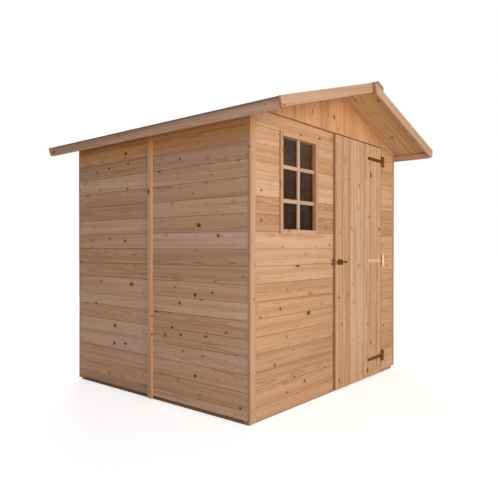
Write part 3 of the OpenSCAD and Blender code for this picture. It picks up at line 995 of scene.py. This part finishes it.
# The trim's wood, how dark the painted shade on its sides is, and its nodes
TRIM = {
    "eave_boards": ("spruce_eave", None, ["eave_boards"]),
    "barge_boards": ("spruce_trim", None, ["front_barges", "back_barges"]),
    "ridge_batten": ("spruce_trim", None, ["ridge_batten"]),
    "corner_strips": ("spruce_strip", (X, STRIP_SIDE), STRIPS),
    "cover_battens": ("spruce_batten", None, ["left_batten", "right_batten", "back_batten"]),
}


class SHED_OT_trim(ShedOperator):
    """Makes the eave boards, barge boards, ridge batten, corner strips and cover battens."""

    bl_idname = "shed.trim"
    bl_label = "Trim"

    def build(self, shed):
        for seed, (name, (finish, dark, nodes)) in enumerate(TRIM.items()):
            stack = Stack(seed + SEEDS["trim"])
            for node in nodes:
                stack.add_timbers(node, dark=dark)
            stack.finish(name + "_planed", wood(finish), "root", "trim_wood", nodes)


class SHED_OT_base(ShedOperator):
    """Makes the treated base timbers, the base rails and the floor boards."""

    bl_idname = "shed.base"
    bl_label = "Base and floor"

    def build(self, shed):
        boards = shed.boards
        stack = Stack(SEEDS["bearers"])
        stack.add_timbers("floor_bearers", boards.base_edge)
        stack.finish("base_timbers", wood("treated_base"), "root", "base_wood", ["floor_bearers"])
        stack = Stack(SEEDS["rails"])
        # The rails' ends get painted shade
        stack.add_timbers("base_rails", boards.base_edge, (X, RAIL_END))
        stack.finish("base_rails_planed", wood("spruce_rail"), "root", "trim_wood", ["base_rails"])
        low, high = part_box("floor_deck")
        stack = Stack(SEEDS["floor"])
        stack.add_boards("floor_deck", Y, X, Z, fitted_joints(low.y, high.y, boards.floor_cover))
        stack.finish("floor_boards", wood("spruce_sawn"), "root", "inner_wood", ["floor_deck"])


def sawn_timbers(nodes, seed, body):
    """Makes a piece of sawn timbers for each node."""
    for count, node in enumerate(nodes):
        stack = Stack(seed + count)
        stack.add_timbers(node)
        stack.finish(node + "_sawn", wood("spruce_sawn"), body, "inner_wood", [node])


class SHED_OT_inner_frame(ShedOperator):
    """Makes the studs, plates, posts, lintel, ridge beam and purlins."""

    bl_idname = "shed.inner_frame"
    bl_label = "Inner frame"

    def build(self, shed):
        nodes = "wall_studs", "top_plates", "door_posts", "door_lintel", "ridge_beam", "purlins"
        sawn_timbers(nodes, SEEDS["inner"], "root")


def surround(stack, outer, inner, y0, y1, dark):
    """Adds two stiles and the two rails between them. Outlines give left, right, foot and top."""
    edge = settings().window.casing_edge
    for x0, x1, z0, z1, along in (
        (outer[0], inner[0], outer[2], outer[3], Z),
        (inner[1], outer[1], outer[2], outer[3], Z),
        (inner[0], inner[1], outer[2], inner[2], X),
        (inner[0], inner[1], inner[3], outer[3], X),
    ):
        # Sides that face along X get painted shade, as dark as asked
        stack.add_timber(block(Vector((x0, y0, z0)), Vector((x1, y1, z1))), along, edge, dark=(X, dark))


def dress(node, finish):
    """Gives a node that stays as it is its finish."""
    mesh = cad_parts[node].data
    mesh.materials.clear()
    mesh.materials.append(finish)


class SHED_OT_window(ShedOperator):
    """Makes the window's frame of stiles and rails, its bars and its glass."""

    bl_idname = "shed.window"
    bl_label = "Window"

    def build(self, shed):
        low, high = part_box("window_frame")
        glass_low, glass_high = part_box("window_glass")
        solid = merged("window_frame")
        corners = [vert.co.copy() for vert in solid.verts]
        solid.free()
        face = [co for co in corners if abs(co.y - low.y) < NEAR]
        inner = [[co[a] for co in face if low[a] + NEAR < co[a] < high[a] - NEAR] for a in (0, 2)]
        sight = [pick(places) for places in inner for pick in (min, max)]
        back = [co for co in corners if abs(co.y - high.y) < NEAR]
        lining = [pick(co[axis] for co in back) for axis in (0, 2) for pick in (min, max)]
        wall_y = max(co.y for co in corners if abs(co.x - low.x) < NEAR)
        stack = Stack(SEEDS["window"])
        # The sides of the casing and the reveal, and the lining behind the glass, get painted shade
        surround(stack, (low.x, high.x, low.z, high.z), sight, low.y, wall_y, CASING_SIDE)
        surround(stack, lining, sight, wall_y, glass_low.y, REVEAL)
        surround(stack, lining, sight, glass_high.y, high.y, REBATE)
        stack.finish("window_frame_planed", wood("spruce_wall"), "root", "trim_wood", ["window_frame"])
        self.bars(shed.window, sight, low.y + shed.window.set_back, glass_low.y)
        dress("window_glass", window_pane())

    def bars(self, window, sight, front, rear):
        """Upright bars from foot to top, and cross bars between them."""
        left, right, foot, top = sight
        pane_w = (right - left - (window.columns - 1) * window.upright_w) / window.columns
        pane_h = (top - foot - (window.rows - 1) * window.cross_h) / window.rows
        bars = Stack(SEEDS["bars"])
        for column in range(window.columns):
            x0 = left + column * (pane_w + window.upright_w)
            if column:
                upright = block(Vector((x0 - window.upright_w, front, foot)), Vector((x0, rear, top)))
                # The upright bar's sides get painted shade
                bars.add_timber(upright, Z, window.bar_edge, 1, (X, BAR_SIDE))
            for row in range(1, window.rows):
                z0 = foot + row * (pane_h + window.cross_h) - (window.cross_drop if row == 1 else 0.0)
                cross = block(Vector((x0, front, z0 - window.cross_h)), Vector((x0 + pane_w, rear, z0)))
                bars.add_timber(cross, X, window.bar_edge, 1)
        bars.finish("window_bars", wood("spruce_bars"), "root", "trim_wood")


class SHED_OT_door(ShedOperator):
    """Makes the door's upright boards, ledges and braces."""

    bl_idname = "shed.door"
    bl_label = "Door"

    def build(self, shed):
        low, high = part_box("door_leaf")
        stack = Stack(SEEDS["door"], DOOR_SEAMS)
        joints = board_joints(low.x, high.x, shed.boards.door_cover, shed.boards.door_line)
        # The leaf's side edges get painted shade
        stack.add_boards("door_leaf", X, Z, -Y, joints, shed.boards.vee_cut, (X, LEAF_EDGE))
        stack.finish("door_boards", wood("spruce_door"), "door", "door_boards", ["door_leaf"])
        sawn_timbers(("door_ledges", "door_braces"), SEEDS["ledges"], "door")


def eased(node, finish, body):
    """A copy of a metal node with its sharp edges rounded."""
    bm = merged(node)
    chamfer(bm, sharp_edges(bm, 40), settings().metal.edge)
    return make_piece(node + "_eased", bm, finish, body, [node], smooth=True)


def facing(place, out):
    """The matrix that takes +Z at the origin to a direction at a place."""
    return Matrix.Translation(place) @ out.to_track_quat("Z", "Y").to_matrix().to_4x4()


def cone(bm, radius, top, depth, segments, matrix=Matrix()):
    """Adds a low cone with a flat top, which is a share of the foot's radius."""
    bmesh.ops.create_cone(
        bm, cap_ends=True, segments=segments, radius1=radius, radius2=radius * top, depth=depth, matrix=matrix
    )


def screw_heads(name, places, finish, body):
    """Slotted screw heads on the front at the places, each with its slot turned its own way."""
    metal = settings().metal
    turn = random.Random(len(name))
    heads = bmesh.new()
    for place in places:
        head = bmesh.new()
        cone(head, metal.screw_r, SCREW_TOP, metal.screw_h, SCREW_SIDES)
        for side in (-1, 1):
            split(head, X * side * metal.slot_w / 2, X)
        head.normal_update()
        slots = [
            face
            for face in head.faces
            if face.normal.z > ALONG and abs(face.calc_center_median().x) < metal.slot_w / 2
        ]
        edge, depth = metal.slot_w * SLOT_EDGE, metal.screw_h * SLOT_DEPTH
        bmesh.ops.inset_region(head, faces=slots, thickness=edge, depth=-depth)
        spin = Matrix.Rotation(turn.uniform(0, math.pi), 4, "Z")
        head.transform(facing(place - Y * metal.screw_h / 2, -Y) @ spin)
        append(heads, head)
    return make_piece(name, heads, finish, body)


def front_faces(bm):
    """The faces that look out of the front, from the smallest to the largest."""
    return sorted((face for face in bm.faces if face.normal.y < -ALONG), key=lambda face: face.calc_area())


def front_box(part):
    """The two corners of a solid's box, and how far out its largest front face lies. Frees the solid."""
    low, high = box_of(part)
    face = front_faces(part)[-1].calc_center_median().y
    part.free()
    return low, high, face


# Places of the screws, as shares of a strap's or plate's width and height
STRAP_SCREWS = ((0.06, 0.5), (0.42, 0.5), (0.8, 0.5))
PLATE_SCREWS = ((0.55, 0.14), (0.82, 0.5), (0.55, 0.86))


class SHED_OT_hinges(ShedOperator):
    """Finishes the three strap hinges and puts their screws in."""

    bl_idname = "shed.hinges"
    bl_label = "Hinges"

    def build(self, shed):
        bronze = bronze_lacquer()
        for node, finish, body, slot, places in (
            ("hinge_straps", bronze, "door", "bronze", STRAP_SCREWS),
            ("middle_hinge_strap", dull_brass(), "door", "brass", STRAP_SCREWS),
            ("hinge_plates", bronze, "root", "bronze", PLATE_SCREWS),
            ("middle_hinge_plate", brass_plating(), "root", "brass", PLATE_SCREWS),
        ):
            screws = []
            for part in loose_parts(merged(node)):
                low, high, face = front_box(part)
                size = high - low
                screws += [
                    Vector((low.x + size.x * across, face, low.z + size.z * up)) for across, up in places
                ]
            eased(node, finish, body)
            screw_heads(node + "_screws", screws, finish, body)


class SHED_OT_bolt(ShedOperator):
    """Finishes the door's bolt, its plate and its keeper, and puts their screws in."""

    bl_idname = "shed.bolt"
    bl_label = "Bolt"

    def build(self, shed):
        finish = bronze_lacquer()
        for node, body in (("bolt_plate", "door"), ("bolt_rod", "bolt"), ("bolt_keeper", "root")):
            eased(node, finish, body)
        inset = shed.metal.screw_r * SCREW_INSET
        low, high, face = front_box(merged("bolt_plate"))
        corners = [
            Vector((x, face, z))
            for x in (low.x + inset, high.x - inset)
            for z in (low.z + inset, high.z - inset)
        ]
        screw_heads("bolt_plate_screws", corners, finish, "door")
        keeper = merged("bolt_keeper")
        low, high = box_of(keeper)
        foot = max(face.calc_center_median().y for face in front_faces(keeper))
        keeper.free()
        feet = [Vector(((low.x + high.x) / 2, foot, z)) for z in (low.z + inset, high.z - inset)]
        screw_heads("bolt_keeper_screws", feet, finish, "root")


def nail_heads(name, places, body):
    """Round nail heads at the places, each given with the direction that it faces."""
    metal = settings().metal
    nails = bmesh.new()
    for place, out in places:
        cone(nails, metal.nail_r, NAIL_TOP, metal.nail_h * 2, NAIL_SIDES, facing(place, out))
    return make_piece(name, nails, bronze_lacquer(), body)


def pairs(joints, inset):
    """Two places on each board between its joints."""
    return [place for low, high in zip(joints, joints[1:]) for place in (low + inset, high - inset)]


def in_front(place, low, high):
    """Whether a place lies in front of or behind a box."""
    return all(low[axis] <= place[axis] <= high[axis] for axis in (0, 2))


# The nailed strips and battens, and the directions that they face
NAILED = {
    "front_left_strip": -Y,
    "front_right_strip": -Y,
    "back_left_strip": Y,
    "back_right_strip": Y,
    "left_batten": -X,
    "right_batten": X,
    "back_batten": Y,
}


class SHED_OT_nails(ShedOperator):
    """Nails the strips and battens to the walls, and the boards to the timbers behind them."""

    bl_idname = "shed.nails"
    bl_label = "Nails"

    def build(self, shed):
        inset = shed.metal.nail_inset
        nail_heads("trim_nails", self.trim(shed.metal.nail_step), "root")
        nail_heads("wall_nails", self.walls(shed.boards, inset), "root")
        nail_heads("roof_nails", self.roof(shed.boards, inset), "root")
        nail_heads("door_nails", self.door(shed.boards, inset), "door")

    def trim(self, step):
        """A row of nails up each strip and batten."""
        places = []
        for node, out in NAILED.items():
            low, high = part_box(node)
            face = (low + high) / 2 + out * abs((high - low).dot(out)) / 2
            count = round((high.z - low.z) / step)
            for z in even_joints(low.z + step / 4, high.z - step / 4, count):
                places.append((Vector((face.x, face.y, z)), out))
        return places

    def walls(self, boards, inset):
        """A pair of nails in each board at each stud or post behind it."""
        timbers = part_boxes("wall_studs") + part_boxes("door_posts")
        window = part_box("window_frame")
        places = []
        for wall, (out, along) in WALLS.items():
            low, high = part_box(wall)
            back, face = sorted((low.dot(out), high.dot(out)))
            joints = board_joints(low.z, high.z, boards.wall_cover, boards.wall_line)
            for timber_low, timber_high in timbers:
                line = (timber_low + timber_high).dot(along) / 2
                touching = abs(max(timber_low.dot(out), timber_high.dot(out)) - back) < CLEAR
                if touching and low.dot(along) < line < high.dot(along):
                    spots = [out * face + along * line + Z * z for z in pairs(joints, inset)]
                    places += [(spot, out) for spot in spots if out != -Y or not in_front(spot, *window)]
        return places

    def roof(self, boards, inset):
        """A pair of nails in each roof board over the plates, the purlins and the ridge beam."""
        beams = [box for node in ("top_plates", "purlins", "ridge_beam") for box in part_boxes(node)]
        places = []
        for name, side in (("left_roof_panel", -1), ("right_roof_panel", 1)):
            low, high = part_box(name)
            up, spot = roof_top(name)
            joints = fitted_joints(low.y, high.y, boards.roof_cover)
            for beam_low, beam_high in beams:
                x = (beam_low.x + beam_high.x) / 2 + side * inset
                if beam_high.y - beam_low.y < beam_high.x - beam_low.x or not low.x < x < high.x:
                    continue
                z = spot.z - (x - spot.x) * up.x / up.z
                places += [(Vector((x, y, z)), up) for y in pairs(joints, inset)]
        return places

    def door(self, boards, inset):
        """A pair of nails in each door board at each ledge."""
        low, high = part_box("door_leaf")
        joints = board_joints(low.x, high.x, boards.door_cover, boards.door_line)
        places = []
        for ledge_low, ledge_high in part_boxes("door_ledges"):
            middle = (ledge_low.z + ledge_high.z) / 2
            for count, x in enumerate(pairs(joints, inset)):
                lift = inset if count % 2 else -inset
                places.append((Vector((x, low.y, middle + lift)), -Y))
        return places


class SHED_OT_stage(ShedOperator):
    """Sets the floor, the lamps, the world and the camera."""

    bl_idname = "shed.stage"
    bl_label = "Stage"

    def build(self, shed):
        stage, colours = shed.stage, shed.colours
        scene = bpy.context.scene
        bm = bmesh.new()
        bmesh.ops.create_grid(bm, x_segments=1, y_segments=1, size=stage.floor_size / 2)
        mesh = bpy.data.meshes.new("studio_floor")
        bm.to_mesh(mesh)
        bm.free()
        mesh.materials.append(studio_floor())
        put("studio_floor", mesh)

        for name, place, size, power, tint in (
            ("key_lamp", stage.key_place, stage.key_size, stage.key_power, colours.key),
            ("fill_lamp", stage.fill_place, stage.fill_size, stage.fill_power, colours.fill),
            ("back_lamp", stage.back_place, stage.back_size, stage.back_power, colours.sky),
        ):
            light = bpy.data.lights.new(name, "AREA")
            light.shape = "SQUARE"
            light.size = size
            light.energy = power
            light.color = tint
            lamp = put(name, light)
            lamp.location = place
            lamp.rotation_euler = (stage.aim - place).to_track_quat("-Z", "Y").to_euler()

        scene.world = white_world(stage.sky_power, colours.sky)
        camera = bpy.data.cameras.new("camera")
        camera.sensor_width = 36
        camera.sensor_fit = "HORIZONTAL"
        camera.lens = stage.lens
        eye = put("camera", camera)
        eye.location = stage.eye
        eye.rotation_euler = (math.pi / 2 - stage.dip, 0, -stage.heading)
        scene.camera = eye
        scene.view_settings.view_transform = "Standard"


OPERATORS = ShedOperator.__subclasses__()


class SHED_PT_panel(bpy.types.Panel):
    """Lists the shed's operators in the sidebar."""

    bl_label = "Garden shed"
    bl_idname = "SHED_PT_panel"
    bl_space_type = "VIEW_3D"
    bl_region_type = "UI"
    bl_category = "Shed"

    def draw(self, context):
        for operator in OPERATORS:
            self.layout.operator(operator.bl_idname)


GROUPS = (ShedBoards, ShedWindow, ShedMetal, ShedColours, ShedStage, ShedSettings)
CLASSES = (*GROUPS, *OPERATORS, SHED_PT_panel)


def register():
    for cls in CLASSES:
        bpy.utils.register_class(cls)
    bpy.types.Scene.shed = PointerProperty(type=ShedSettings)


def unregister():
    del bpy.types.Scene.shed
    for cls in reversed(CLASSES):
        bpy.utils.unregister_class(cls)


def main():
    register()
    bpy.ops.shed.wall_boards()
    bpy.ops.shed.gable_boards()
    bpy.ops.shed.roof_boards()
    bpy.ops.shed.trim()
    bpy.ops.shed.base()
    bpy.ops.shed.inner_frame()
    bpy.ops.shed.window()
    bpy.ops.shed.door()
    bpy.ops.shed.hinges()
    bpy.ops.shed.bolt()
    bpy.ops.shed.nails()
    bpy.ops.shed.stage()


if __name__ == "__main__":
    main()
